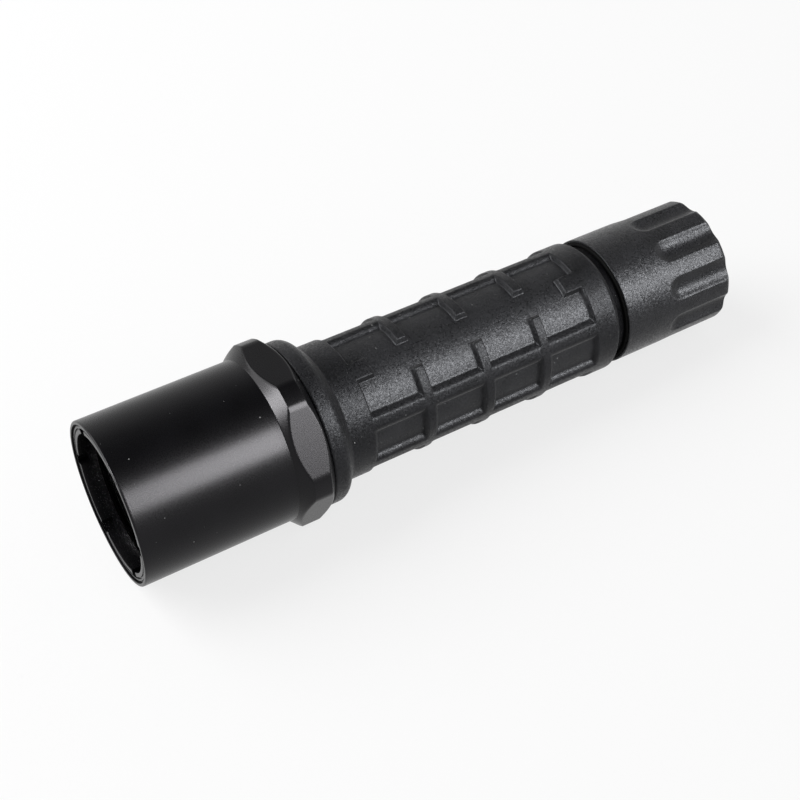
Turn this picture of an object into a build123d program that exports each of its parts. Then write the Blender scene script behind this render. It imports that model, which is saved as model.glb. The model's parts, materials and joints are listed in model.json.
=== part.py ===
from build123d import *
import math
import os

# Tactical flashlight in millimetres, lying on one flat of its six-sided collar.
# Y is the optical axis: the beam leaves along -Y and the tail points along +Y. Z is up.
# The origin is the centre of the bezel's front rim, so every Y below is a distance behind that rim.

# --- Running and seating clearances (radial unless said otherwise) ---
RUNNING = 0.08
SEAT = 0.05

# --- Bezel: a plain barrel with a six-flat collar behind it ---
BEZEL_R = 15.875
RIM_CHAMFER = 0.5
MOUTH_R = 15.2
LENS_LEDGE_Y = 6.0
LENS_LEDGE_THICKNESS = 1.2
LENS_LEDGE_R = 12.8
MODULE_BORE_R = 13.4
COLLAR_R = 18.0
COLLAR_FLAT_R = 16.6
COLLAR_FLATS = 6
COLLAR_CONE_START = 30.1
COLLAR_CONE_END = 32.2
COLLAR_BACK_START = 35.7
COLLAR_BACK_END = 37.15
COLLAR_BACK_R = 16.3

# --- Retaining ring and lens in the mouth ---
RING_FRONT = 0.3
RING_BACK = 3.6
RING_R = MOUTH_R - SEAT
RING_BORE_R = 13.3
RING_NOTCHES = 6
RING_NOTCH_WIDTH = 2.4
RING_NOTCH_DEPTH = 2.0
RING_NOTCH_FLOOR_R = 14.35
RING_NOTCH_FIRST_DEG = -1.5
LENS_R = 14.9
LENS_FRONT = 4.2
LENS_RING_SECTION_R = (LENS_FRONT - RING_BACK) / 2

# --- Drop-in lamp module ---
REFLECTOR_FRONT = LENS_LEDGE_Y + LENS_LEDGE_THICKNESS + 0.1
REFLECTOR_BACK = 24.2
REFLECTOR_FLANGE_R = 13.2
REFLECTOR_FLANGE_BACK = REFLECTOR_FRONT + 3.0
REFLECTOR_SHOULDER_R = 11.0
REFLECTOR_SHOULDER_START = 17.0
REFLECTOR_SHOULDER_END = 19.6
REFLECTOR_NECK_R = 8.6
REFLECTOR_MOUTH_R = 12.3
REFLECTOR_FOCAL_LENGTH = 2.125
BOARD_FRONT = 24.5
BOARD_THICKNESS = 1.2
BOARD_R = 8.0
INSULATOR_BORE_R = 3.4
EMITTER_SIDE = 3.45
EMITTER_BASE = 0.6
EMITTER_DOME_R = 1.5
PILL_R = 10.0
PILL_FRONT = 19.7
PILL_FLOOR = BOARD_FRONT + BOARD_THICKNESS
PILL_FLOOR_THICKNESS = 2.2
PILL_BACK = 34.0
PILL_BACK_BORE_R = 8.8
DRIVER_THICKNESS = 1.6

# --- Grip body: one moulding from the head neck to the tail neck ---
HEAD_NECK_R = 13.85
HEAD_NECK_FRONT = 26.5
HEAD_GROOVE_FRONT = 34.9
HEAD_GROOVE_BACK = 36.1
HEAD_GROOVE_R = 12.9
HEAD_RING_SECTION_R = 0.5
SHOULDER_R = 16.2
SHOULDER_FRONT = 37.35
SHOULDER_ROUND_START = 39.5
SHOULDER_ROUND_END = 43.0
GRIP_R = 13.4
GRIP_BACK = 103.8
GRIP_BACK_CHAMFER = 1.2
TAIL_NECK_R = 11.6
TAIL_NECK_BACK = 115.0
COUNTERBORE_R = 11.0
COUNTERBORE_BACK = 38.5
CELL_BORE_R = 9.6
NECK_CHAMFER = 0.5

# --- Grip pattern: pockets between raised ribs, the same again on the opposite side ---
POCKET_DEPTH = 1.0
POCKET_FRONT = 48.05
POCKET_LENGTH = 10.35
POCKET_PITCH = 13.05
POCKETS_PER_ROW = 4
PANEL_CENTRE_DEG = 64.7
PANEL_HALF_DEG = 37.9
PANEL_BAND_DEG = (-15.0, 10.5)
PANEL_TONGUE_HALF_DEG = 9.5
PANEL_TONGUE_LENGTH = 3.4
ROW_STARTS_DEG = (52.9, 98.5)
ROW_SPAN_DEG = 28.6

# --- Metal sleeve that carries the return current to the head ---
SLEEVE_R = CELL_BORE_R - SEAT
SLEEVE_BORE_R = 9.15
SLEEVE_FLANGE_R = 10.9
SLEEVE_FLANGE_THICKNESS = 0.5
SLEEVE_BACK = 114.8

# --- Two lithium cells, 17 mm across and 34.5 mm long ---
CELL_FRONT = 41.0
CELL_LENGTH = 34.5
CELL_R = 8.5
WRAP_THICKNESS = 0.15
CAN_WALL = 0.4
TERMINAL_HEIGHT = 1.0
TERMINAL_R = 3.2
TERMINAL_PLATE_R = 6.3

# --- Tail cap ---
CAP_R = 13.0
CAP_FRONT = 105.7
CAP_BACK = 131.4
CAP_FRONT_CHAMFER = 0.4
CAP_BACK_ROUND = 1.0
CAP_THREAD_R = TAIL_NECK_R + RUNNING
CAP_THREAD_BACK = 117.4
CAP_CHAMBER_R = 10.4
CAP_WALL_FRONT = 124.3
CAP_HOLE_R = 7.4
CAP_HOLE_FLARE = 1.2
FLUTES = 10
FLUTE_CUTTER_R = 3.52
FLUTE_CUTTER_OFFSET = 15.47
FLUTE_START = 119.3
FLUTE_FIRST_DEG = 22.5
TAIL_RING_SECTION_R = 0.45
TAIL_RING_BORE_R = TAIL_NECK_R + 0.03
TAIL_RING_CENTRE = 105.8

# --- Switch parts inside the tail cap ---
CONTACT_FRONT = 115.9
CONTACT_THICKNESS = 1.0
CONTACT_R = SLEEVE_BORE_R - 0.06
PLUNGER_FLANGE_R = 8.9
PLUNGER_FLANGE_BACK = 118.9
PLUNGER_R = 6.0
PLUNGER_BACK = 128.5
RETAINER_FRONT = 119.0
RETAINER_BACK = 122.9
BOOT_FLANGE_R = 10.2
BOOT_R = 7.3
BOOT_WALL = 1.0
BOOT_TOP_INSIDE = 128.6
BOOT_BACK = 130.9
BOOT_EDGE_ROUND = 2.0

# --- Springs ---
OUTER_SPRING_WIRE_R = 0.35
OUTER_SPRING_R = 10.5
OUTER_SPRING_TURNS = 5
CENTRE_SPRING_WIRE_R = 0.3
CENTRE_SPRING_R = 2.6
CENTRE_SPRING_TURNS = 4
TAIL_SPRING_WIRE_R = 0.4
TAIL_SPRING_NARROW_R = 4.2
TAIL_SPRING_WIDE_R = 7.4
TAIL_SPRING_TURNS = 3


def turned(*edges):
    """A solid of revolution about Y. Edges are drawn in (distance behind the rim, radius)."""
    outline = Curve() + list(edges)
    return revolve(make_face(Plane.YZ * outline), Axis.Y)


def turned_outline(*points):
    """A solid of revolution whose outline is straight runs between points."""
    return turned(Polyline(*points, close=True))


def tube(front, back, bore, outer):
    """A plain tube, or a disc where the bore is 0."""
    return turned_outline((front, bore), (front, outer), (back, outer), (back, bore))


def o_ring(centre, bore, section):
    """A round-section ring whose inside radius is bore."""
    circle = Pos(centre, bore + section) * Circle(section)
    return revolve(Plane.YZ * circle, Axis.Y)


def turn(shape, degrees):
    """Turns a shape that points along +Z until it points at an angle from +X towards +Z."""
    return Rot(Y=90 - degrees) * shape


def coil(front, back, radius_front, radius_back, wire, turns):
    """A helical spring along Y, whose wire stays between front and back."""
    height = back - front - 2 * wire
    cone = math.degrees(math.atan2(radius_back - radius_front, height))
    path = Helix(
        pitch=height / turns,
        height=height,
        radius=radius_front,
        center=(0, front + wire, 0),
        direction=(0, 1, 0),
        cone_angle=cone,
    )
    section = Plane(origin=path @ 0, z_dir=path % 0) * Circle(wire)
    return sweep(section, path=path, is_frenet=True)


def bezel():
    """Barrel, lens ledge and collar, turned in one piece, with six flats milled on the collar."""
    body = turned_outline(
        (0, MOUTH_R),
        (0, BEZEL_R - RIM_CHAMFER),
        (RIM_CHAMFER, BEZEL_R),
        (COLLAR_CONE_START, BEZEL_R),
        (COLLAR_CONE_END, COLLAR_R),
        (COLLAR_BACK_START, COLLAR_R),
        (COLLAR_BACK_END, COLLAR_BACK_R),
        (COLLAR_BACK_END, HEAD_NECK_R + RUNNING),
        (HEAD_NECK_FRONT - 0.3, HEAD_NECK_R + RUNNING),
        (HEAD_NECK_FRONT - 0.3, MODULE_BORE_R),
        (LENS_LEDGE_Y + LENS_LEDGE_THICKNESS, MODULE_BORE_R),
        (LENS_LEDGE_Y + LENS_LEDGE_THICKNESS, LENS_LEDGE_R),
        (LENS_LEDGE_Y, LENS_LEDGE_R),
        (LENS_LEDGE_Y, MOUTH_R),
    )
    overshoot = 5.0
    waste = Box(3 * COLLAR_R, COLLAR_BACK_END - COLLAR_CONE_START + overshoot, overshoot)
    waste_y = (COLLAR_BACK_END + COLLAR_CONE_START + overshoot) / 2
    for index in range(COLLAR_FLATS):
        flat = Pos(0, waste_y, COLLAR_FLAT_R + overshoot / 2) * waste
        body -= turn(flat, 90 + index * 360 / COLLAR_FLATS)
    return body


def retaining_ring():
    """Threaded ring that holds the lens, with six notches in its front edge for a spanner."""
    ring = tube(RING_FRONT, RING_BACK, RING_BORE_R, RING_R)
    reach = RING_NOTCH_FLOOR_R - RING_BORE_R + 1.0
    notch = Box(RING_NOTCH_WIDTH, RING_NOTCH_DEPTH * 2, reach)
    notch = Pos(0, RING_FRONT, RING_NOTCH_FLOOR_R - reach / 2) * notch
    for index in range(RING_NOTCHES):
        ring -= turn(notch, RING_NOTCH_FIRST_DEG + index * 360 / RING_NOTCHES)
    return ring


def lens():
    """Flat glass window that rests on the bezel's ledge."""
    edge = 0.3
    return turned_outline(
        (LENS_FRONT, 0),
        (LENS_FRONT, LENS_R - edge),
        (LENS_FRONT + edge, LENS_R),
        (LENS_LEDGE_Y - edge, LENS_R),
        (LENS_LEDGE_Y, LENS_R - edge),
        (LENS_LEDGE_Y, 0),
    )


def lens_o_ring():
    """Seal squeezed between the retaining ring and the lens."""
    return o_ring(RING_BACK + LENS_RING_SECTION_R, RING_BORE_R + 0.5, LENS_RING_SECTION_R)


def reflector():
    """Parabolic reflector with a flange that bears on the bezel and a neck that screws into the pill."""
    apex = REFLECTOR_FRONT + REFLECTOR_MOUTH_R**2 / (4 * REFLECTOR_FOCAL_LENGTH)
    hole_r = math.sqrt(4 * REFLECTOR_FOCAL_LENGTH * (apex - REFLECTOR_BACK))
    control_y = apex - REFLECTOR_MOUTH_R * hole_r / (4 * REFLECTOR_FOCAL_LENGTH)
    bowl = Bezier(
        (REFLECTOR_BACK, hole_r),
        (control_y, (REFLECTOR_MOUTH_R + hole_r) / 2),
        (REFLECTOR_FRONT, REFLECTOR_MOUTH_R),
    )
    outside = Polyline(
        (REFLECTOR_FRONT, REFLECTOR_MOUTH_R),
        (REFLECTOR_FRONT, REFLECTOR_FLANGE_R),
        (REFLECTOR_FLANGE_BACK, REFLECTOR_FLANGE_R),
        (REFLECTOR_FLANGE_BACK, REFLECTOR_FLANGE_R - 0.6),
        (REFLECTOR_SHOULDER_START, REFLECTOR_SHOULDER_R),
        (REFLECTOR_SHOULDER_END, REFLECTOR_SHOULDER_R),
        (REFLECTOR_SHOULDER_END, REFLECTOR_NECK_R),
        (REFLECTOR_BACK, REFLECTOR_NECK_R),
        (REFLECTOR_BACK, hole_r),
    )
    return turned(outside, bowl)


def led_insulator():
    """Thin washer that keeps the reflector off the board's pads."""
    return tube(REFLECTOR_BACK + 0.02, BOARD_FRONT, INSULATOR_BORE_R, BOARD_R)


def led_emitter():
    """Square emitter package with a clear dome over the die."""
    base = Box(EMITTER_SIDE, EMITTER_BASE, EMITTER_SIDE)
    dome = Sphere(EMITTER_DOME_R) & Pos(0, -EMITTER_DOME_R, 0) * Box(4, 2 * EMITTER_DOME_R, 4)
    package = Pos(0, EMITTER_BASE / 2, 0) * base + dome
    return Pos(0, BOARD_FRONT - EMITTER_BASE, 0) * package


def led_board():
    """Aluminium-core board that the emitter is soldered to."""
    return tube(BOARD_FRONT, PILL_FLOOR, 0, BOARD_R)


def lamp_pill():
    """Brass cup that carries the board, takes its heat and holds the driver behind."""
    floor_back = PILL_FLOOR + PILL_FLOOR_THICKNESS
    cup = turned_outline(
        (PILL_FRONT, REFLECTOR_NECK_R + SEAT),
        (PILL_FRONT, PILL_R - 0.3),
        (PILL_FRONT + 0.3, PILL_R),
        (PILL_BACK - 0.5, PILL_R),
        (PILL_BACK, PILL_R - 0.5),
        (PILL_BACK, PILL_BACK_BORE_R),
        (floor_back, PILL_BACK_BORE_R),
        (floor_back, 0),
        (PILL_FLOOR, 0),
        (PILL_FLOOR, REFLECTOR_NECK_R + SEAT),
    )
    wire_hole = Rot(X=90) * Cylinder(0.9, 4 * PILL_FLOOR_THICKNESS)
    for side in (-1, 1):
        cup -= Pos(side * 5.5, PILL_FLOOR + PILL_FLOOR_THICKNESS / 2, 0) * wire_hole
    return cup


def driver_board():
    """Round circuit board pressed into the back of the pill."""
    return tube(PILL_BACK - DRIVER_THICKNESS, PILL_BACK, 0, PILL_BACK_BORE_R - SEAT)


def lamp_outer_spring():
    """Large spring from the reflector's shoulder to the sleeve: the return path of the current."""
    return coil(
        REFLECTOR_SHOULDER_END,
        COUNTERBORE_BACK - SLEEVE_FLANGE_THICKNESS,
        OUTER_SPRING_R,
        OUTER_SPRING_R,
        OUTER_SPRING_WIRE_R,
        OUTER_SPRING_TURNS,
    )


def lamp_centre_spring():
    """Small spring from the driver board to the front cell."""
    return coil(
        PILL_BACK,
        CELL_FRONT,
        CENTRE_SPRING_R,
        CENTRE_SPRING_R,
        CENTRE_SPRING_WIRE_R,
        CENTRE_SPRING_TURNS,
    )


def head_o_ring():
    """Seal in the head neck's groove."""
    middle = (HEAD_GROOVE_FRONT + HEAD_GROOVE_BACK) / 2
    return o_ring(middle, HEAD_GROOVE_R, HEAD_RING_SECTION_R)


def grip_sector(front, back, start_deg, end_deg):
    """A cutter that sinks a pocket into the grip between two stations and two angles."""
    profile = Polyline(
        (front, GRIP_R - POCKET_DEPTH),
        (front, GRIP_R + 1.0),
        (back, GRIP_R + 1.0),
        (back, GRIP_R - POCKET_DEPTH),
        close=True,
    )
    sector = revolve(make_face(Plane.YZ * profile), Axis.Y, revolution_arc=end_deg - start_deg)
    return turn(sector, end_deg)


def grip_pockets():
    """All the pockets: two comb-shaped panels, each with an open band along its middle, and the rows between."""
    cutters = []
    pattern_back = POCKET_FRONT + (POCKETS_PER_ROW - 1) * POCKET_PITCH + POCKET_LENGTH
    band_front = POCKET_FRONT + PANEL_TONGUE_LENGTH
    band_back = pattern_back - PANEL_TONGUE_LENGTH
    for base in (PANEL_CENTRE_DEG, PANEL_CENTRE_DEG + 180):
        band_start, band_end = PANEL_BAND_DEG
        cutters.append(grip_sector(band_front, band_back, base + band_start, base + band_end))
        spans = [(base - PANEL_HALF_DEG, base - PANEL_TONGUE_HALF_DEG)]
        spans.append((base + PANEL_TONGUE_HALF_DEG, base + PANEL_HALF_DEG))
        spans += [(base - start - ROW_SPAN_DEG, base - start) for start in ROW_STARTS_DEG]
        for index in range(POCKETS_PER_ROW):
            front = POCKET_FRONT + index * POCKET_PITCH
            for start_deg, end_deg in spans:
                cutters.append(grip_sector(front, front + POCKET_LENGTH, start_deg, end_deg))
    return cutters


def grip_body():
    """Moulded nylon body: threaded head neck, round shoulder, pocketed grip and threaded tail neck."""
    round_rise = SHOULDER_R - GRIP_R
    round_run = SHOULDER_ROUND_END - SHOULDER_ROUND_START
    round_r = (round_run**2 + round_rise**2) / (2 * round_rise)
    half_turn = math.atan2(round_run, round_r - round_rise) / 2
    shoulder_middle = (
        SHOULDER_ROUND_START + round_r * math.sin(half_turn),
        SHOULDER_R - round_r + round_r * math.cos(half_turn),
    )
    front = Polyline(
        (HEAD_NECK_FRONT, COUNTERBORE_R),
        (HEAD_NECK_FRONT, HEAD_NECK_R - NECK_CHAMFER),
        (HEAD_NECK_FRONT + NECK_CHAMFER, HEAD_NECK_R),
        (HEAD_GROOVE_FRONT, HEAD_NECK_R),
        (HEAD_GROOVE_FRONT, HEAD_GROOVE_R),
        (HEAD_GROOVE_BACK, HEAD_GROOVE_R),
        (HEAD_GROOVE_BACK, HEAD_NECK_R),
        (SHOULDER_FRONT, HEAD_NECK_R),
        (SHOULDER_FRONT, SHOULDER_R),
        (SHOULDER_ROUND_START, SHOULDER_R),
    )
    shoulder = ThreePointArc(
        (SHOULDER_ROUND_START, SHOULDER_R), shoulder_middle, (SHOULDER_ROUND_END, GRIP_R)
    )
    back = Polyline(
        (SHOULDER_ROUND_END, GRIP_R),
        (GRIP_BACK - GRIP_BACK_CHAMFER, GRIP_R),
        (GRIP_BACK, GRIP_R - GRIP_BACK_CHAMFER),
        (GRIP_BACK, TAIL_NECK_R),
        (TAIL_NECK_BACK - NECK_CHAMFER, TAIL_NECK_R),
        (TAIL_NECK_BACK, TAIL_NECK_R - NECK_CHAMFER),
        (TAIL_NECK_BACK, CELL_BORE_R),
        (COUNTERBORE_BACK, CELL_BORE_R),
        (COUNTERBORE_BACK, COUNTERBORE_R),
        (HEAD_NECK_FRONT, COUNTERBORE_R),
    )
    return turned(front, shoulder, back) - grip_pockets()


def contact_sleeve():
    """Thin metal liner with a flange under the lamp's outer spring."""
    front = COUNTERBORE_BACK - SLEEVE_FLANGE_THICKNESS
    return turned_outline(
        (front, SLEEVE_BORE_R),
        (front, SLEEVE_FLANGE_R),
        (COUNTERBORE_BACK, SLEEVE_FLANGE_R),
        (COUNTERBORE_BACK, SLEEVE_R),
        (SLEEVE_BACK, SLEEVE_R),
        (SLEEVE_BACK, SLEEVE_BORE_R),
    )


def cell_parts(front):
    """One cell as five pieces, with its raised positive terminal facing forward at the given station."""
    shoulder = front + TERMINAL_HEIGHT
    plate_back = shoulder + 0.6
    seal_back = plate_back + 0.6
    back = front + CELL_LENGTH
    can_r = CELL_R - WRAP_THICKNESS
    core_r = can_r - CAN_WALL
    terminal = turned_outline(
        (front, 0),
        (front, TERMINAL_R - 0.2),
        (front + 0.2, TERMINAL_R),
        (shoulder, TERMINAL_R),
        (shoulder, TERMINAL_PLATE_R),
        (plate_back, TERMINAL_PLATE_R),
        (plate_back, 0),
    )
    seal = turned_outline(
        (shoulder, TERMINAL_PLATE_R),
        (shoulder, core_r),
        (seal_back, core_r),
        (seal_back, TERMINAL_PLATE_R - 0.8),
        (plate_back, TERMINAL_PLATE_R - 0.8),
        (plate_back, TERMINAL_PLATE_R),
    )
    can = turned_outline(
        (shoulder, core_r),
        (shoulder, can_r),
        (back, can_r),
        (back, 0),
        (back - CAN_WALL, 0),
        (back - CAN_WALL, core_r),
    )
    core = tube(seal_back + SEAT, back - CAN_WALL - SEAT, 0, core_r - SEAT)
    wrap = turned_outline(
        (shoulder - WRAP_THICKNESS, TERMINAL_PLATE_R + 0.6),
        (shoulder - WRAP_THICKNESS, CELL_R),
        (back, CELL_R),
        (back, can_r),
        (shoulder, can_r),
        (shoulder, TERMINAL_PLATE_R + 0.6),
    )
    return {"can": can, "core": core, "terminal": terminal, "seal": seal, "wrap": wrap}


def tail_spring():
    """Tapered spring from the rear cell to the contact disc. It also returns the button."""
    return coil(
        CELL_FRONT + 2 * CELL_LENGTH,
        CONTACT_FRONT,
        TAIL_SPRING_NARROW_R,
        TAIL_SPRING_WIDE_R,
        TAIL_SPRING_WIRE_R,
        TAIL_SPRING_TURNS,
    )


def tail_o_ring():
    """Seal carried in the tail cap's mouth, standing a little proud of it."""
    return o_ring(TAIL_RING_CENTRE, TAIL_RING_BORE_R, TAIL_RING_SECTION_R)


def tailcap():
    """Moulded nylon cap with flutes that are open at its back edge."""
    seat_r = TAIL_RING_BORE_R + 2 * TAIL_RING_SECTION_R + 0.02
    seat_back = TAIL_RING_CENTRE + TAIL_RING_SECTION_R + 0.05
    round_middle = CAP_BACK_ROUND * (1 - math.sqrt(0.5))
    front = Polyline(
        (CAP_FRONT, seat_r),
        (CAP_FRONT, CAP_R - CAP_FRONT_CHAMFER),
        (CAP_FRONT + CAP_FRONT_CHAMFER, CAP_R),
        (CAP_BACK - CAP_BACK_ROUND, CAP_R),
    )
    back_round = ThreePointArc(
        (CAP_BACK - CAP_BACK_ROUND, CAP_R),
        (CAP_BACK - round_middle, CAP_R - round_middle),
        (CAP_BACK, CAP_R - CAP_BACK_ROUND),
    )
    inside = Polyline(
        (CAP_BACK, CAP_R - CAP_BACK_ROUND),
        (CAP_BACK, CAP_HOLE_R + CAP_HOLE_FLARE),
        (CAP_BACK - CAP_HOLE_FLARE, CAP_HOLE_R),
        (CAP_WALL_FRONT, CAP_HOLE_R),
        (CAP_WALL_FRONT, CAP_CHAMBER_R),
        (CAP_THREAD_BACK, CAP_CHAMBER_R),
        (CAP_THREAD_BACK, CAP_THREAD_R),
        (seat_back, CAP_THREAD_R),
        (seat_back, seat_r),
        (CAP_FRONT, seat_r),
    )
    cap = turned(front, back_round, inside)
    length = CAP_BACK - FLUTE_START + FLUTE_CUTTER_R
    cutter = Pos(0, length / 2, 0) * Rot(X=90) * Cylinder(FLUTE_CUTTER_R, length)
    cutter = Pos(0, FLUTE_START, FLUTE_CUTTER_OFFSET) * (cutter + Sphere(FLUTE_CUTTER_R))
    for index in range(FLUTES):
        cap -= turn(cutter, FLUTE_FIRST_DEG + index * 360 / FLUTES)
    return cap


def boot_retainer():
    """Ring screwed in behind the switch: it clamps the boot and guides the plunger."""
    return turned_outline(
        (RETAINER_FRONT, PLUNGER_R + RUNNING),
        (RETAINER_FRONT, CAP_CHAMBER_R - SEAT),
        (RETAINER_BACK, CAP_CHAMBER_R - SEAT),
        (RETAINER_BACK, PLUNGER_R + RUNNING),
    )


def switch_boot():
    """Rubber boot: a clamped flange and a domed cover over the plunger."""
    inner_r = BOOT_R - BOOT_WALL
    round_middle = BOOT_EDGE_ROUND * (1 - math.sqrt(0.5))
    flange = Polyline(
        (BOOT_TOP_INSIDE, 0),
        (BOOT_TOP_INSIDE, inner_r),
        (RETAINER_BACK, inner_r),
        (RETAINER_BACK, BOOT_FLANGE_R),
        (CAP_WALL_FRONT, BOOT_FLANGE_R),
        (CAP_WALL_FRONT, BOOT_R),
        (BOOT_BACK - BOOT_EDGE_ROUND, BOOT_R),
    )
    edge = ThreePointArc(
        (BOOT_BACK - BOOT_EDGE_ROUND, BOOT_R),
        (BOOT_BACK - round_middle, BOOT_R - round_middle),
        (BOOT_BACK, BOOT_R - BOOT_EDGE_ROUND),
    )
    top = Polyline((BOOT_BACK, BOOT_R - BOOT_EDGE_ROUND), (BOOT_BACK, 0), (BOOT_TOP_INSIDE, 0))
    return turned(flange, edge, top)


def switch_plunger():
    """Insulating plunger between the boot and the contact disc."""
    return turned_outline(
        (CONTACT_FRONT + CONTACT_THICKNESS, 0),
        (CONTACT_FRONT + CONTACT_THICKNESS, PLUNGER_FLANGE_R),
        (PLUNGER_FLANGE_BACK, PLUNGER_FLANGE_R),
        (PLUNGER_FLANGE_BACK, PLUNGER_R),
        (PLUNGER_BACK - 0.5, PLUNGER_R),
        (PLUNGER_BACK, PLUNGER_R - 0.5),
        (PLUNGER_BACK, 0),
    )


def contact_disc():
    """Brass disc that enters the sleeve's bore and closes the circuit."""
    return turned_outline(
        (CONTACT_FRONT, 0),
        (CONTACT_FRONT, CONTACT_R - 0.3),
        (CONTACT_FRONT + 0.3, CONTACT_R),
        (CONTACT_FRONT + CONTACT_THICKNESS, CONTACT_R),
        (CONTACT_FRONT + CONTACT_THICKNESS, 0),
    )


def pieces():
    """Every node's name and solid."""
    makers = (
        bezel,
        retaining_ring,
        lens,
        lens_o_ring,
        reflector,
        led_insulator,
        led_emitter,
        led_board,
        lamp_pill,
        driver_board,
        lamp_outer_spring,
        lamp_centre_spring,
        head_o_ring,
        grip_body,
        contact_sleeve,
        tail_spring,
        tail_o_ring,
        tailcap,
        boot_retainer,
        switch_boot,
        switch_plunger,
        contact_disc,
    )
    named = {maker.__name__: maker() for maker in makers}
    for place, front in (("front", CELL_FRONT), ("rear", CELL_FRONT + CELL_LENGTH)):
        for part, solid in cell_parts(front).items():
            named[f"{place}_cell_{part}"] = solid
    return named


os.makedirs("parts", exist_ok=True)
for node, solid in pieces().items():
    export_step(solid, f"parts/{node}.step")
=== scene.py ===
"""Looks of a black tactical flashlight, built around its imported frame.

Objects are in metres in the frame's axes. Outlines are in millimetres as (station, radius), where
the station is the distance behind the bezel's front rim along +Y. Angles run from +X towards +Z.
"""

import json
import math

import bpy
import numpy as np
from mathutils import Matrix, Vector


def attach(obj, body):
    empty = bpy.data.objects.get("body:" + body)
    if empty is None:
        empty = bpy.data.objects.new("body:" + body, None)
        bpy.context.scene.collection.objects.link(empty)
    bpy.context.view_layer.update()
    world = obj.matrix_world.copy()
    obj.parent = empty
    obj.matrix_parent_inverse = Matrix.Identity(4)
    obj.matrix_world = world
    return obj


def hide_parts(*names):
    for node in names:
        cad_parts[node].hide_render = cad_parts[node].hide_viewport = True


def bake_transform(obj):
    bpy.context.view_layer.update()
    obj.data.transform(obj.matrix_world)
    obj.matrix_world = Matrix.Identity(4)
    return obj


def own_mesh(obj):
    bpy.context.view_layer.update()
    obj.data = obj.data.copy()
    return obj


MM = 0.001

# --- Main radii and stations ---
BARREL_R = 15.875
COLLAR_R = 18.0
BEZEL_BACK = 37.15
HEAD_NECK_R = 13.85
SHOULDER_R = 16.2
GRIP_R = 13.4
GRIP_BACK = 103.8
TAIL_NECK_R = 11.6
CAP_R = 13.0
CAP_BACK = 131.4

# --- Recesses of the grip, in mm and degrees ---
POCKET_DEPTH = 1.1
POCKET_FRONT = 47.7
POCKET_LENGTH = 11.0
POCKET_PITCH = 13.03
POCKETS_PER_ROW = 4
PANEL_CENTRE_DEG = 64.7
PANEL_HALF_DEG = 40.0
PANEL_BAND_DEG = (-16.0, 11.5)
PANEL_TONGUE_HALF_DEG = 8.0
PANEL_TONGUE_LENGTH = 3.6
ROW_STARTS_DEG = (50.8, 96.4)
ROW_SPAN_DEG = 32.8
PANEL_LOW_RUN = 0.9
PANEL_HIGH_RUN = 0.95
PANEL_CROSS_RUN = 0.35
ROW_WALL_RUN = 1.0
ROW_CROSS_RUN = 0.6
CORNER_ROUND = 0.5
JOIN_ROUND = 0.4

# --- Flutes of the tail cap ---
FLUTES = 10
FLUTE_FIRST_DEG = 22.5
FLUTE_CUTTER_R = 3.52
FLUTE_CUTTER_OFFSET = 15.47
FLUTE_START = 119.3
FLUTE_EDGE_ROUND = 0.35

# --- Collar ---
COLLAR_FLATS = 6
COLLAR_FLAT_R = 16.6
COLLAR_EDGE_ROUND = 0.3

# --- Screw threads on the two necks ---
THREAD_LEAD = 1.5
THREAD_DEPTH = 0.5
THREAD_RUN_OUT = 0.8
HEAD_THREAD = (27.3, 34.2)
TAIL_THREAD = (107.2, 114.4)

# --- View, in metres, degrees and mm of lens ---
# The point on the axis at CAMERA_AIM_Y shows CAMERA_OFFSET (right, up) from the view's middle.
CAMERA_DISTANCE = 0.28577
CAMERA_AIM_Y = 0.05619
CAMERA_OFFSET = (-0.00379, 0.001967)
CAMERA_HEIGHT_DEG = 43.9
CAMERA_TOWARDS_HEAD_DEG = 21.805
CAMERA_ROLL_DEG = 23.074
LENS_MM = 67.5

# --- Surroundings ---
# Each is a height, from 0 for level to 1 for straight up, and the brightness there.
WALL_LEVELS = ((0.0, 0.95), (0.6, 0.72), (1.0, 0.05))

# --- Soft lights ---
# Each is degrees from +X towards +Z, degrees towards the tail, distance, (across, along) and watts.
KEY_LIGHT = (34.5, 24.0, 0.7, (0.38, 0.5), 17.3)
HEAD_LIGHT = (100.0, -62.0, 0.8, (0.28, 0.3), 10.5)
FILL_LIGHT = (125.0, -38.0, 1.0, (0.9, 0.9), 11.8)
LIGHT_AIM = (0, 0.062, 0)

# --- Floor ---
# It touches the object at two places, each given as (station, drop below the axis).
FLOOR_HALF_WIDTH = 4.0
FLOOR_ALBEDO = (0.18, 0.18, 0.18)
FLOOR_GLOW = 0.77
FLOOR_FRONT_CONTACT = (35.7, COLLAR_FLAT_R)
FLOOR_BACK_CONTACT = (130.4, 12.64)

# --- Tail spring and button ---
SPRING_FRONT = 110.0
SPRING_BACK = 115.9
SPRING_RADII = (4.2, 7.4)
SPRING_WIRE_R = 0.4
SPRING_TURNS = 4


# ---------------------------------------------------------------- shapes


def soft_min(a, b, width):
    """The smaller of two values, with the corner between them rounded over width."""
    overlap = np.maximum(width - np.abs(a - b), 0) / width
    return np.minimum(a, b) - overlap**2 * width / 4


def soft_max(a, b, width):
    """The larger of two values, with the corner between them rounded over width."""
    return -soft_min(-a, -b, width)


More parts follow.
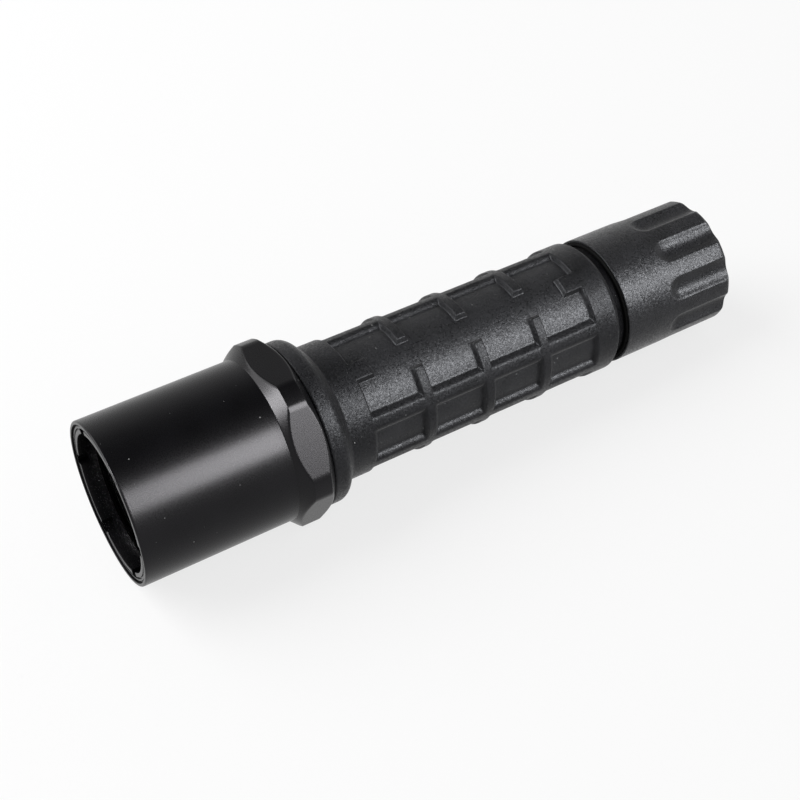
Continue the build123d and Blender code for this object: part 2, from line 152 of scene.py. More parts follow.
def rounded(corners, segments=4):
    """A closed outline of (station, radius) points from (station, radius, round) corners."""
    points = []
    for index, (station, radius, size) in enumerate(corners):
        here = np.array((station, radius), float)
        if size == 0:
            points.append(here)
            continue
        last = np.array(corners[index - 1][:2], float) - here
        following = np.array(corners[(index + 1) % len(corners)][:2], float) - here
        last /= np.linalg.norm(last)
        following /= np.linalg.norm(following)
        half_angle = math.acos(np.clip(last @ following, -1, 1)) / 2
        inward = (last + following) / np.linalg.norm(last + following)
        centre = here + inward * size / math.sin(half_angle)
        reach = size / math.tan(half_angle)
        start = here + last * reach - centre
        sweep = math.pi - 2 * half_angle
        turn = np.sign(last[0] * following[1] - last[1] * following[0])
        for step in range(segments + 1):
            angle = -turn * sweep * step / segments
            cos, sin = math.cos(angle), math.sin(angle)
            turned = (start[0] * cos - start[1] * sin, start[0] * sin + start[1] * cos)
            points.append(centre + turned)
    return np.array(points)


def with_stations(outline, stations, least_radius):
    """The outline with more points at the given stations, on its outer side only."""
    points = []
    for here, following in zip(outline, np.roll(outline, -1, axis=0)):
        points.append(here)
        if min(here[1], following[1]) < least_radius or abs(following[0] - here[0]) < 1e-6:
            continue
        low, high = sorted((here[0], following[0]))
        inside = [s for s in stations if low + 0.02 < s < high - 0.02]
        for station in sorted(inside, reverse=following[0] < here[0]):
            share = (station - here[0]) / (following[0] - here[0])
            points.append(here + (following - here) * share)
    return np.array(points)


def graded(start, end, edges, reach, fine, coarse, growth=0.3):
    """Values from start to end, close together near the edges and further apart between them."""
    values = [start]
    while values[-1] < end:
        gap = min(abs(values[-1] - edge) for edge in edges)
        values.append(values[-1] + min(coarse, fine + growth * max(0.0, gap - reach)))
    values = np.array(values)
    return start + (values - start) * (end - start) / (values[-1] - start)


def even_angles(count):
    """Angles round one turn, in radians, without repeating the first."""
    return np.arange(count) * 2 * math.pi / count


def shell(name, outline, angles, relief=None):
    """A closed skin turned about Y. relief(station, radius, angle) gives each point's radius."""
    station = np.repeat(outline[:, :1], len(angles), axis=1)
    radius = np.repeat(outline[:, 1:], len(angles), axis=1)
    angle = np.repeat(angles[None, :], len(outline), axis=0)
    if relief is not None:
        radius = relief(station, radius, angle)
    points = np.stack([radius * np.cos(angle), station, radius * np.sin(angle)], axis=-1) * MM
    index = np.arange(radius.size).reshape(radius.shape)
    next_row, next_column = np.roll(index, -1, axis=0), np.roll(index, -1, axis=1)
    across = np.roll(next_row, -1, axis=1)
    faces = np.stack([index, next_row, across, next_column], axis=-1).reshape(-1, 4)
    mesh = bpy.data.meshes.new(name)
    mesh.from_pydata(points.reshape(-1, 3).tolist(), [], faces.tolist())
    mesh.shade_smooth()
    mesh.set_sharp_from_angle(angle=math.radians(40))
    piece = bpy.data.objects.new(name, mesh)
    bpy.context.scene.collection.objects.link(piece)
    return piece


def thread(station, radius, angle, front, back):
    """The radius with a right-handed screw groove cut between two stations."""
    phase = (station / THREAD_LEAD + angle / (2 * math.pi)) % 1.0
    groove = np.clip(1.3 - np.abs(phase - 0.5) * 4, 0, 1)
    run_in = np.clip((station - front) / THREAD_RUN_OUT, 0, 1)
    run_out = np.clip((back - station) / THREAD_RUN_OUT, 0, 1)
    return radius - THREAD_DEPTH * groove * (run_in * run_out)


def ramp(value, top_round=0.3, foot_round=0.6):
    """0 to 1 as the value goes from 0 to 1, with rounded ends."""
    capped = soft_min(value, np.ones_like(value), top_round)
    return soft_max(capped, np.zeros_like(value), foot_round)


# ---------------------------------------------------------------- bezel


def bezel_shape():
    """Barrel with a softened rim, cone, six-flat collar and the bores behind the mouth."""
    outline = rounded(
        [
            (0.0, 15.2, 0.08),
            (0.0, BARREL_R, 0.3),
            (30.1, BARREL_R, 0.25),
            (32.2, COLLAR_R, 0.12),
            (35.7, COLLAR_R, 0.12),
            (BEZEL_BACK, 16.3, 0.15),
            (BEZEL_BACK, 13.93, 0.0),
            (26.2, 13.93, 0.0),
            (26.2, 13.4, 0.0),
            (7.2, 13.4, 0.0),
            (7.2, 12.8, 0.1),
            (6.0, 12.8, 0.1),
            (6.0, 15.2, 0.0),
        ]
    )
    stations = np.concatenate([np.arange(0.5, 29.5, 1.0), np.arange(30.0, 37.1, 0.1)])
    flat_pitch = 2 * math.pi / COLLAR_FLATS
    first_flat = math.pi / 2

    def relief(station, radius, angle):
        away = (angle - first_flat + flat_pitch / 2) % flat_pitch - flat_pitch / 2
        milled = soft_min(radius, COLLAR_FLAT_R / np.cos(away), COLLAR_EDGE_ROUND)
        on_collar = (radius > 15.0) & (station > 29.0)
        return np.where(on_collar, milled, radius)

    outline = with_stations(outline, stations, 15.0)
    return shell("bezel_shell", outline, even_angles(720), relief)


def retaining_ring_shape():
    """Lens ring with six spanner notches in its front edge."""
    notches, width, depth, floor, first = 6, 2.4, 2.3, 14.35, math.radians(-1.5)
    outline = rounded(
        [
            (0.3, 13.3, 0.1),
            (0.3, 14.1, 0.05),
            (0.55, 14.2, 0.0),
            (0.55, floor, 0.0),
            (0.3, 14.45, 0.0),
            (0.3, 14.8, 0.05),
            (0.6, 14.9, 0.0),
            (0.6, 15.13, 0.0),
            (3.6, 15.13, 0.1),
            (3.6, 13.3, 0.1),
            (depth + 0.04, 13.3, 0.0),
            (depth, 13.3, 0.0),
        ]
    )
    pitch = 2 * math.pi / notches
    half = width / 2 / floor
    angles = []
    for notch in range(notches):
        centre = first + notch * pitch
        inside = np.linspace(-half, half, 9)
        outside = np.linspace(half + 0.003, pitch - half - 0.003, 60)
        angles.extend(centre + np.concatenate([inside, outside]))

    def relief(station, radius, angle):
        away = (angle - first + pitch / 2) % pitch - pitch / 2
        cut = (np.abs(away) <= half + 1e-6) & (station <= depth + 1e-6) & (radius < floor)
        return np.where(cut, floor, radius)

    return shell("lens_ring_threaded", outline, np.array(angles), relief)


# ---------------------------------------------------------------- grip


def pocket_regions():
    """Each recess as (start deg, end deg, front, back) and three wall runs.

    The first two runs are for the walls along the grip, and the last is for the two across it.
    """
    regions = []
    pattern_back = POCKET_FRONT + (POCKETS_PER_ROW - 1) * POCKET_PITCH + POCKET_LENGTH
    band_front, band_back = POCKET_FRONT + PANEL_TONGUE_LENGTH, pattern_back - PANEL_TONGUE_LENGTH
    low_run, high_run, cross = PANEL_LOW_RUN, PANEL_HIGH_RUN, PANEL_CROSS_RUN
    half, tongue = PANEL_HALF_DEG, PANEL_TONGUE_HALF_DEG
    for base in (0.0, 180.0):
        low, high = PANEL_BAND_DEG
        regions.append((base + low, base + high, band_front, band_back, cross, cross, cross))
        for index in range(POCKETS_PER_ROW):
            front = POCKET_FRONT + index * POCKET_PITCH
            back = front + POCKET_LENGTH
            regions.append((base - half, base - tongue, front, back, low_run, cross, cross))
            regions.append((base + tongue, base + half, front, back, cross, high_run, cross))
            inner = max(front, band_front), min(back, band_back)
            regions.append((base - half, base + half, *inner, low_run, high_run, cross))
            for start in ROW_STARTS_DEG:
                end = base - start
                runs = (ROW_WALL_RUN, ROW_WALL_RUN, ROW_CROSS_RUN)
                regions.append((end - ROW_SPAN_DEG, end, front, back, *runs))
    return regions


def pocket_depth(station, angle):
    """How far the grip's surface is sunk at each point, in mm."""
    per_degree = math.radians(1) * GRIP_R
    degrees = np.degrees(angle) - PANEL_CENTRE_DEG
    depth = np.full(station.shape, -10.0)
    for start, end, front, back, first_run, last_run, cross_run in pocket_regions():
        middle = (start + end) / 2
        around = (degrees - middle + 180) % 360 - 180 + middle
        from_start, from_end = (around - start) * per_degree, (end - around) * per_degree
        sides = np.minimum(from_start / first_run, from_end / last_run)
        ends = np.minimum(station - front, back - station) / cross_run
        depth = soft_max(depth, soft_min(sides, ends, CORNER_ROUND), JOIN_ROUND)
    return POCKET_DEPTH * ramp(depth)


def grip_shape():
    """Moulded body: threaded necks, round shoulder and the pocketed grip."""
    outline = rounded(
        [
            (26.5, 11.0, 0.0),
            (26.5, 13.35, 0.0),
            (27.0, HEAD_NECK_R, 0.0),
            (34.9, HEAD_NECK_R, 0.0),
            (34.9, 12.9, 0.0),
            (36.1, 12.9, 0.0),
            (36.1, HEAD_NECK_R, 0.0),
            (37.35, HEAD_NECK_R, 0.0),
            (37.35, SHOULDER_R, 0.5),
            (40.6, SHOULDER_R, 2.2),
            (42.6, GRIP_R, 0.5),
            (102.6, GRIP_R, 0.4),
            (GRIP_BACK, 12.2, 0.15),
            (GRIP_BACK, TAIL_NECK_R, 0.0),
            (114.5, TAIL_NECK_R, 0.0),
            (115.0, 11.1, 0.0),
            (115.0, 9.6, 0.0),
            (38.5, 9.6, 0.0),
            (38.5, 11.0, 0.0),
        ],
        segments=8,
    )
    wall_stations, wall_angles = set(), set()
    for start, end, front, back, first_run, last_run, cross_run in pocket_regions():
        first = math.degrees(first_run / 2 / GRIP_R)
        last = math.degrees(last_run / 2 / GRIP_R)
        wall_stations |= {front + cross_run / 2, back - cross_run / 2}
        for turn in (-360, 0, 360):
            wall_angles |= {start + first + turn, end - last + turn}
    step = 0.15
    necks = np.concatenate([np.arange(27.2, 34.8, step), np.arange(104.5, 114.4, step)])
    walls = graded(43.5, 102.0, wall_stations, reach=0.35, fine=0.09, coarse=0.9)
    outline = with_stations(outline, np.concatenate([necks, walls]), 11.2)
    around = graded(0.0, 360.0, wall_angles, reach=1.5, fine=0.4, coarse=2.0)[:-1]

    def relief(station, radius, angle):
        in_grip = (radius > 12.0) & (station > 44) & (station < 102)
        radius = np.where(in_grip, radius - pocket_depth(station, angle), radius)
        on_head_neck = (radius > 13.8) & (station < 34.5)
        radius = np.where(on_head_neck, thread(station, radius, angle, *HEAD_THREAD), radius)
        on_tail_neck = (np.abs(radius - TAIL_NECK_R) < 0.01) & (station > 104)
        return np.where(on_tail_neck, thread(station, radius, angle, *TAIL_THREAD), radius)

    return shell("grip_moulding", outline, np.radians(PANEL_CENTRE_DEG + around), relief)


# ---------------------------------------------------------------- tail cap


def tailcap_shape():
    """Moulded cap with flutes that ramp in behind its smooth front and stay open at the back."""
    outline = rounded(
        [
            (105.7, 12.55, 0.1),
            (105.7, CAP_R, 0.18),
            (CAP_BACK, CAP_R, 1.0),
            (CAP_BACK, 8.6, 0.3),
            (130.2, 7.4, 0.3),
            (124.3, 7.4, 0.0),
            (124.3, 10.4, 0.0),
            (117.4, 10.4, 0.0),
            (117.4, 11.68, 0.0),
            (106.3, 11.68, 0.0),
            (106.3, 12.55, 0.0),
        ],
        segments=8,
    )
    stations = np.concatenate([np.arange(106.5, 115.5, 1.0), np.arange(116.0, 131.0, 0.2)])
    outline = with_stations(outline, stations, 12.6)
    pitch = 2 * math.pi / FLUTES

    def relief(station, radius, angle):
        away = (angle - math.radians(FLUTE_FIRST_DEG) + pitch / 2) % pitch - pitch / 2
        ahead = np.maximum(FLUTE_START - station, 0)
        cutter = np.sqrt(np.maximum(FLUTE_CUTTER_R**2 - ahead**2, 0))
        inside = cutter**2 - (FLUTE_CUTTER_OFFSET * np.sin(away)) ** 2
        floor = FLUTE_CUTTER_OFFSET * np.cos(away) - np.sqrt(np.maximum(inside, 0))
        uncut = 2 * CAP_R
        fluted = soft_min(radius, np.where(inside > 0, floor, uncut), FLUTE_EDGE_ROUND)
        on_outside = (radius > 11.75) & (station > 115)
        return np.where(on_outside, fluted, radius)

    return shell("tailcap_moulding", outline, even_angles(600), relief)


def boot_shape():
    """Rubber button: a soft domed top with a shallow dish and a clamped flange."""
    outline = rounded(
        [
            (130.6, 0.01, 0.0),
            (130.6, 4.4, 0.5),
            (130.9, 5.0, 0.5),
            (130.9, 7.3, 1.6),
            (124.25, 7.3, 0.3),
            (124.25, 10.2, 0.2),
            (122.95, 10.2, 0.2),
            (122.95, 6.3, 0.0),
            (128.6, 6.3, 0.5),
            (128.6, 0.01, 0.0),
        ],
        segments=6,
    )
    return shell("switch_boot_rubber", outline, even_angles(128))


# ---------------------------------------------------------------- springs


def spring_wire(name, part, segments=64, sides=12):
    """The tail spring's wire between two shares of its length."""
    front, back, wire = SPRING_FRONT, SPRING_BACK, SPRING_WIRE_R
    count = int(SPRING_TURNS * segments * (part[1] - part[0]))
    share = np.linspace(*part, count + 1)
    flat_end = 0.12
    eased = np.clip((share - flat_end) / (1 - 2 * flat_end), 0, 1)
    station = front + wire + (back - front - 2 * wire) * eased
    radius = SPRING_RADII[0] + (SPRING_RADII[1] - SPRING_RADII[0]) * eased
    angle = share * SPRING_TURNS * 2 * math.pi
    rim = np.linspace(0, 2 * math.pi, sides, endpoint=False)
    points = []
    for s, r, a in zip(station, radius, angle):
        for w in rim:
            reach = (r + wire * math.cos(w)) * MM
            points.append((reach * math.cos(a), (s + wire * math.sin(w)) * MM, reach * math.sin(a)))
    faces = []
    for row in range(count):
        for column in range(sides):
            a, b = row * sides + column, row * sides + (column + 1) % sides
            faces.append((a, a + sides, b + sides, b))
    faces += [tuple(range(sides)), tuple(reversed(range(count * sides, (count + 1) * sides)))]
    mesh = bpy.data.meshes.new(name)
    mesh.from_pydata(points, [], faces)
    mesh.shade_smooth()
    piece = bpy.data.objects.new(name, mesh)
    bpy.context.scene.collection.objects.link(piece)
    return piece


# ---------------------------------------------------------------- materials


class Finish:
    """A material with a Principled shader and short calls for the textures that drive it."""

    def __init__(self, name, color, roughness, **sockets):
        self.material = bpy.data.materials.new(name)
        self.material.use_nodes = True
        self.tree = self.material.node_tree
        self.shader = self.tree.nodes["Principled BSDF"]
        self.shader.inputs["Base Color"].default_value = (*color, 1)
        self.shader.inputs["Roughness"].default_value = roughness
        for socket, value in sockets.items():
            self.shader.inputs[socket.replace("_", " ")].default_value = value
        self.place = self.tree.nodes.new("ShaderNodeTexCoord").outputs["Object"]
        self.normal = None

    def link(self, output, socket):
        self.tree.links.new(output, socket)

    def stretched(self, scale):
        """Object coordinates scaled by a different amount along each axis."""
        mapping = self.tree.nodes.new("ShaderNodeMapping")
        mapping.inputs["Scale"].default_value = scale
        self.link(self.place, mapping.inputs["Vector"])
        return mapping.outputs["Vector"]

    def noise(self, size_mm, detail=2.0, roughness=0.5, stretch=None):
        """Noise whose features are about size_mm across."""
        node = self.tree.nodes.new("ShaderNodeTexNoise")
        node.inputs["Scale"].default_value = 1000 / size_mm
        node.inputs["Detail"].default_value = detail
        node.inputs["Roughness"].default_value = roughness
        self.link(self.stretched(stretch) if stretch else self.place, node.inputs["Vector"])
        return node.outputs["Fac"]

    def dust(self, size_mm, rarity):
        """0 nearly everywhere and 1 in a few small specks. A higher rarity gives fewer."""
        return self.span(self.noise(size_mm, detail=0.0), rarity, rarity + 0.03, 0.0, 1.0)

    def station(self):
        """Distance behind the front rim, in mm."""
        separate = self.tree.nodes.new("ShaderNodeSeparateXYZ")
        self.link(self.place, separate.inputs["Vector"])
        return self.math("MULTIPLY", separate.outputs["Y"], 1000)

    def radius(self):
        """Distance from the axis, in mm."""
        flat = self.tree.nodes.new("ShaderNodeVectorMath")
        flat.operation = "LENGTH"
        self.link(self.stretched((1000, 0, 1000)), flat.inputs[0])
        return flat.outputs["Value"]

    def facets(self, size_mm):
        """Height of small cells that each lean their own way."""
        cells = self.tree.nodes.new("ShaderNodeTexVoronoi")
        cells.inputs["Scale"].default_value = 1000 / size_mm
        self.link(self.place, cells.inputs["Vector"])
        across = self.tree.nodes.new("ShaderNodeVectorMath")
        across.operation = "SUBTRACT"
        self.link(self.place, across.inputs[0])
        self.link(cells.outputs["Position"], across.inputs[1])
        lean = self.tree.nodes.new("ShaderNodeVectorMath")
        lean.operation = "SUBTRACT"
        self.link(cells.outputs["Color"], lean.inputs[0])
        lean.inputs[1].default_value = (0.5, 0.5, 0.5)
        height = self.tree.nodes.new("ShaderNodeVectorMath")
        height.operation = "DOT_PRODUCT"
        self.link(across.outputs["Vector"], height.inputs[0])
        self.link(lean.outputs["Vector"], height.inputs[1])
        return self.math("MULTIPLY", height.outputs["Value"], 1000 / size_mm)

    def span(self, value, low, high, out_low, out_high):
        """The value remapped from one range to another."""
        node = self.tree.nodes.new("ShaderNodeMapRange")
        limits = {"From Min": low, "From Max": high, "To Min": out_low, "To Max": out_high}
        for socket, number in limits.items():
            node.inputs[socket].default_value = number
        self.link(value, node.inputs["Value"])
        return node.outputs["Result"]

    def math(self, operation, a, b):
        """One arithmetic step between two outputs, or an output and a number."""
        node = self.tree.nodes.new("ShaderNodeMath")
        node.operation = operation
        for socket, value in zip(node.inputs, (a, b)):
            if isinstance(value, (int, float)):
                socket.default_value = value
            else:
                self.link(value, socket)
        return node.outputs["Value"]

    def colors(self, value, *stops):
        """Base colour from a ramp of (place, (r, g, b)) stops."""
        node = self.tree.nodes.new("ShaderNodeValToRGB")
        elements = node.color_ramp.elements
        while len(elements) < len(stops):
            elements.new(0.5)
        for element, (place, color) in zip(elements, stops):
            element.position = place
            element.color = (*color, 1)
        self.link(value, node.inputs["Fac"])
        self.link(node.outputs["Color"], self.shader.inputs["Base Color"])
        return self

    def rough(self, value, low, high, smoothest, roughest):
        """Roughness that follows a value."""
        self.link(self.span(value, low, high, smoothest, roughest), self.shader.inputs["Roughness"])
        return self

    def bump(self, height, depth_mm, strength=1.0):
        """Adds a bump layer of the given depth."""
        node = self.tree.nodes.new("ShaderNodeBump")
        node.inputs["Strength"].default_value = strength
        node.inputs["Distance"].default_value = depth_mm * MM
        self.link(height, node.inputs["Height"])
        if self.normal is not None:
            self.link(self.normal, node.inputs["Normal"])
        self.normal = node.outputs["Normal"]
        self.link(self.normal, self.shader.inputs["Normal"])
        return self


def black_anodised():
    """Satin black oxide over bead-blasted aluminium, with faint turning marks."""
    tint = (0.98, 0.96, 1.0, 1.0)
    finish = Finish("black_anodised", (0.004, 0.004, 0.0045), 0.28, IOR=1.26, Specular_Tint=tint)
    grain = finish.noise(0.2, detail=3.0)
    turning = finish.noise(0.25, detail=1.0, stretch=(0.05, 1.0, 0.05))
    drift = finish.noise(9.0, detail=2.0)
    finish.colors(
        finish.math("MAXIMUM", finish.math("MULTIPLY", drift, 0.8), finish.dust(0.5, 0.865)),
        (0.24, (0.0003, 0.0003, 0.0004)),
        (0.56, (0.0008, 0.0008, 0.001)),
        (0.7, (0.0008, 0.0008, 0.001)),
        (1.0, (0.08, 0.08, 0.08)),
    )
    finish.rough(grain, 0.3, 0.7, 0.25, 0.31)
    return finish.bump(grain, 0.012, 0.28).bump(turning, 0.004, 0.35).material


def black_nylon():
    """Glass-filled nylon: mottled, duller on the grip's lands, with painted shade on the tail neck.
    """
    finish = Finish(
        "black_nylon",
        (0.006, 0.006, 0.0065),
        0.36,
        IOR=1.29,
        Sheen_Weight=0.03,
        Sheen_Roughness=0.4,
        Specular_Tint=(0.93, 0.95, 1.0, 1.0),
    )
    cloud = finish.noise(6.0, detail=3.0)
    grit = finish.noise(0.3, detail=2.0, roughness=0.7)
    mottle = finish.math("MULTIPLY", finish.math("ADD", cloud, grit), 0.5)
    finish.colors(
        finish.math("MAXIMUM", mottle, finish.dust(0.5, 0.845)),
        (0.35, (0.0005, 0.0005, 0.0006)),
        (0.65, (0.004, 0.004, 0.0045)),
        (0.8, (0.004, 0.004, 0.0045)),
        (1.0, (0.08, 0.08, 0.08)),
    )
    on_grip = finish.span(finish.station(), GRIP_BACK, GRIP_BACK + 0.7, 1.0, 0.0)
    at_full_radius = finish.span(finish.radius(), GRIP_R - 0.5, GRIP_R - 0.1, 0.0, 0.42)
    on_land = finish.math("MULTIPLY", at_full_radius, on_grip)
    coarser = finish.math("ADD", grit, finish.math("MULTIPLY", on_grip, 0.05))
    finish.rough(coarser, 0.38, 0.82, 0.24, 0.7)
    # Painted shade: the tail neck behind the grip loses nearly all its specular level, which paints
    # in the shade that falls there between the grip and the cap.
    behind_grip = finish.span(finish.station(), GRIP_BACK - 0.1, GRIP_BACK, 0.0, 1.0)
    at_neck_radius = finish.span(finish.radius(), TAIL_NECK_R + 0.1, TAIL_NECK_R + 0.5, 1.0, 0.0)
    neck_painted_shade = finish.math("MULTIPLY", behind_grip, at_neck_radius)
    # The lands are duller from wear; the neck's near-zero specular level is painted shade.
    dull_lands_and_painted_shade = finish.math("MAXIMUM", on_land, neck_painted_shade)
    level = finish.span(dull_lands_and_painted_shade, 0.0, 1.0, 0.5, 0.02)
    finish.link(level, finish.shader.inputs["Specular IOR Level"])
    return finish.bump(grit, 0.05, 1.0).bump(finish.facets(0.3), 0.05, 1.0).material


def rubber(name, color, size_mm, ior=1.4):
    """Matt rubber with a fine moulded skin."""
    finish = Finish(name, color, 0.7, IOR=ior)
    skin = finish.noise(size_mm, detail=3.0)
    finish.rough(skin, 0.3, 0.7, 0.6, 0.8)
    return finish.bump(skin, 0.02, 0.4).material


def window_glass():
    """Clear coated window."""
    finish = Finish("window_glass", (1.0, 1.0, 1.0), 0.02, IOR=1.5, Transmission_Weight=1.0)
    haze = finish.noise(3.0, detail=3.0)
    return finish.rough(haze, 0.35, 0.75, 0.01, 0.05).material


def metal(name, color, roughness, stretch=(1.0, 1.0, 1.0), size_mm=0.3, spread=0.08):
    """Bare metal with fine drawn or turned lines."""
    finish = Finish(name, color, roughness, Metallic=1.0)
    lines = finish.noise(size_mm, detail=2.0, stretch=stretch)
    darker = tuple(c * 0.85 for c in color)
    finish.colors(lines, (0.3, darker), (0.7, color))
    finish.rough(lines, 0.3, 0.7, roughness - spread / 2, roughness + spread)
    return finish.bump(lines, 0.004, 0.4).material


def plastic(name, color, roughness, size_mm):
    """Moulded or printed plastic with slight variation."""
    finish = Finish(name, color, roughness)
    skin = finish.noise(size_mm, detail=3.0)
    finish.colors(skin, (0.3, tuple(c * 0.85 for c in color)), (0.7, color))
    finish.rough(skin, 0.3, 0.7, max(roughness - 0.08, 0.05), roughness + 0.08)
    return finish.bump(skin, 0.01, 0.3).material


def make_materials():
    """One material for each slot of the record."""
    along, around = (1.0, 0.05, 1.0), (0.05, 1.0, 0.05)
    return {
        "black_anodised": black_anodised(),
        "black_nylon": black_nylon(),
        "window_glass": window_glass(),
        "seal_rubber": rubber("seal_rubber", (0.002, 0.002, 0.002), 0.3, ior=1.1),
        "boot_rubber": rubber("boot_rubber", (0.01, 0.01, 0.01), 0.25),
        "reflector_coating": metal(
            "reflector_coating", (0.86, 0.87, 0.88), 0.08, size_mm=0.6, spread=0.05
        ),
        "bare_aluminium": metal("bare_aluminium", (0.75, 0.75, 0.76), 0.3, along),
        "brass": metal("brass", (0.72, 0.55, 0.28), 0.3, around),
        "spring_steel": metal("spring_steel", (0.7, 0.68, 0.62), 0.25, size_mm=0.2),
        "board_white": plastic("board_white", (0.82, 0.82, 0.8), 0.4, 0.5),
        "circuit_board": plastic("circuit_board", (0.03, 0.14, 0.06), 0.4, 0.5),
        "led_package": plastic("led_package", (0.85, 0.7, 0.2), 0.15, 0.4),
        "insulator": plastic("insulator", (0.78, 0.78, 0.75), 0.5, 0.5),
        "insulator_black": plastic("insulator_black", (0.02, 0.02, 0.02), 0.45, 0.5),
        "cell_steel": metal("cell_steel", (0.68, 0.68, 0.68), 0.25, around),
        "cell_roll": plastic("cell_roll", (0.1, 0.1, 0.1), 0.7, 0.3),
        "cell_wrap": plastic("cell_wrap", (0.06, 0.08, 0.22), 0.25, 1.5),
    }


# ---------------------------------------------------------------- scene


def direction(height_deg, towards_tail_deg):
    """Unit vector at an angle from +X towards +Z, leaning towards the tail."""
    height, lean = math.radians(height_deg), math.radians(towards_tail_deg)
    side = math.cos(lean)
    return Vector((side * math.cos(height), math.sin(lean), side * math.sin(height)))


def add_camera():
    """Camera above the +X side, a little ahead of the middle, rolled so that the head hangs low."""
    back = direction(CAMERA_HEIGHT_DEG, -CAMERA_TOWARDS_HEAD_DEG)
    lean = math.radians(CAMERA_TOWARDS_HEAD_DEG)
    level_right = (Vector((0, 1, 0)) + back * math.sin(lean)) / math.cos(lean)
    level_up = back.cross(level_right)
    roll = math.radians(CAMERA_ROLL_DEG)
    right = level_right * math.cos(roll) - level_up * math.sin(roll)
    up = level_right * math.sin(roll) + level_up * math.cos(roll)
    aim = Vector((0, CAMERA_AIM_Y, 0)) - right * CAMERA_OFFSET[0] - up * CAMERA_OFFSET[1]
    camera = bpy.data.objects.new("camera", bpy.data.cameras.new("camera"))
    camera.data.lens = LENS_MM
    camera.data.sensor_width = 36.0
    camera.data.clip_start = 0.01
    turn = Matrix((right, up, back)).transposed().to_4x4()
    camera.matrix_world = Matrix.Translation(aim + back * CAMERA_DISTANCE) @ turn
    bpy.context.scene.collection.objects.link(camera)
    bpy.context.scene.camera = camera


def add_floor():
    """Pale sheet under the object, touching the collar's lowest flat and the cap's lowest lands."""
    (front, front_drop), (back, back_drop) = FLOOR_FRONT_CONTACT, FLOOR_BACK_CONTACT
    slope = math.atan2(front_drop - back_drop, back - front)
    mesh = bpy.data.meshes.new("floor")
    half = FLOOR_HALF_WIDTH
    corners = [(-half, -half, 0), (half, -half, 0), (half, half, 0), (-half, half, 0)]
    mesh.from_pydata(corners, [], [(0, 1, 2, 3)])
    floor = bpy.data.objects.new("floor", mesh)
    bpy.context.scene.collection.objects.link(floor)
    contact = Matrix.Translation((0, front * MM, -front_drop * MM))
    floor.matrix_world = contact @ Matrix.Rotation(slope, 4, "X")
    paper = Finish("floor_paper", FLOOR_ALBEDO, 0.9, IOR=1.0, Emission_Strength=FLOOR_GLOW)
    paper.shader.inputs["Emission Color"].default_value = (1, 1, 1, 1)
    paper.bump(paper.noise(0.8, detail=4.0), 0.05, 0.15)
    mesh.materials.append(paper.material)
    return floor


def add_softbox(name, height_deg, towards_tail_deg, distance, size, power):
    """Rectangular soft light on the object. size is (across, along the object)."""
    lamp = bpy.data.lights.new(name, "AREA")
    lamp.shape = "RECTANGLE"
    lamp.size, lamp.size_y = size
    lamp.energy = power
    light = bpy.data.objects.new(name, lamp)
    bpy.context.scene.collection.objects.link(light)
    back = direction(height_deg, towards_tail_deg)
    along = (Vector((0, 1, 0)) - back * back.y).normalized()
    across = along.cross(back)
    turn = Matrix((across, along, back)).transposed().to_4x4()
    light.matrix_world = Matrix.Translation(Vector(LIGHT_AIM) + back * distance) @ turn
    light.visible_camera = False
    return light


def shade_from(light, obj):
    """Keeps a light off one object."""
    skipped = bpy.data.collections.new(f"{light.name}_skips")
    skipped.objects.link(obj)
    light.light_linking.receiver_collection = skipped
    skipped.collection_objects[0].light_linking.link_state = "EXCLUDE"


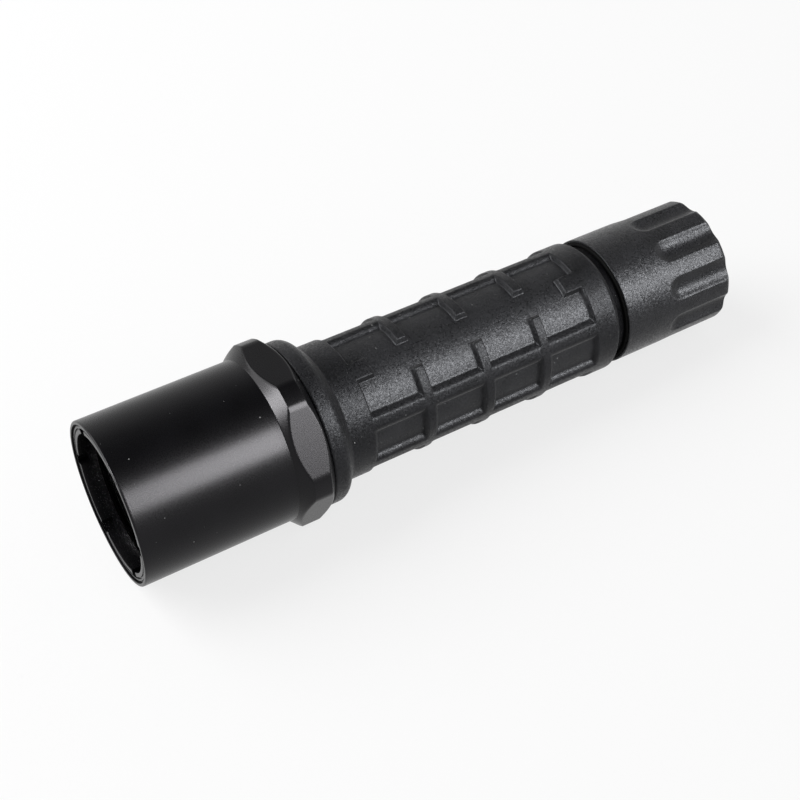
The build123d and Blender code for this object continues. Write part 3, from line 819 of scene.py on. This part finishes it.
def add_surroundings():
    """Pale walls round a darker ceiling."""
    world = bpy.data.worlds.new("studio")
    bpy.context.scene.world = world
    world.use_nodes = True
    tree = world.node_tree
    place = tree.nodes.new("ShaderNodeTexCoord")
    separate = tree.nodes.new("ShaderNodeSeparateXYZ")
    ramp_node = tree.nodes.new("ShaderNodeValToRGB")
    tree.links.new(place.outputs["Generated"], separate.inputs["Vector"])
    tree.links.new(separate.outputs["Z"], ramp_node.inputs["Fac"])
    tree.links.new(ramp_node.outputs["Color"], tree.nodes["Background"].inputs["Color"])
    elements = ramp_node.color_ramp.elements
    elements.new(0.5)
    for element, (height, level) in zip(elements, WALL_LEVELS):
        element.position = height
        element.color = (level, level, level, 1)


# ---------------------------------------------------------------- build

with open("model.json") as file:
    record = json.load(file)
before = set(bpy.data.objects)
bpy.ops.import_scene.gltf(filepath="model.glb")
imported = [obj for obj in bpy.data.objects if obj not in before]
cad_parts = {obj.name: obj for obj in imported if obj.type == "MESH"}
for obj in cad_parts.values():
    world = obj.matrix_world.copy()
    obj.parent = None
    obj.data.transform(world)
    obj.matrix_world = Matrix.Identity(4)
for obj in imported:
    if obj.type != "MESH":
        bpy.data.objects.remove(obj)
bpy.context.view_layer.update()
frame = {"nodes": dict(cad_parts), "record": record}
scene = bpy.context.scene
scene.view_settings.view_transform = "Standard"

materials = make_materials()
slot_of = {part["node"]: part["material_slot"] for part in frame["record"]["subparts"]}
bodies = frame["record"]["behaviour"]["bodies"]
body_of = {node: body for body, nodes in bodies.items() for node in nodes}

for node, obj in frame["nodes"].items():
    obj.data.materials.clear()
    obj.data.materials.append(materials[slot_of[node]])


def dress(piece, node):
    """Gives a finished piece its node's material, and hides the node."""
    piece.data.materials.append(materials[slot_of[node]])
    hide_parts(node)
    return piece


def stand_for(piece, node):
    """Dresses a finished piece as its node, and moves it with the node's body."""
    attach(dress(piece, node), body_of[node])
    return piece


stand_for(bezel_shape(), "bezel")
stand_for(retaining_ring_shape(), "retaining_ring")
stand_for(grip_shape(), "grip_body")
stand_for(tailcap_shape(), "tailcap")
boot = stand_for(boot_shape(), "switch_boot")
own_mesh(boot)

# The tail spring is drawn as a front half and a rear half. Its rear half rides on the cap.
front_half = dress(spring_wire("tail_spring_front", (0.0, 0.5)), "tail_spring")
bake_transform(front_half)
rear_half = dress(spring_wire("tail_spring_rear", (0.5, 1.0)), "tail_spring")
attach(rear_half, "tail_seal")
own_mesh(rear_half)

add_camera()
floor = add_floor()
add_surroundings()
shade_from(add_softbox("key", *KEY_LIGHT), floor)
shade_from(add_softbox("head", *HEAD_LIGHT), floor)
add_softbox("fill", *FILL_LIGHT)
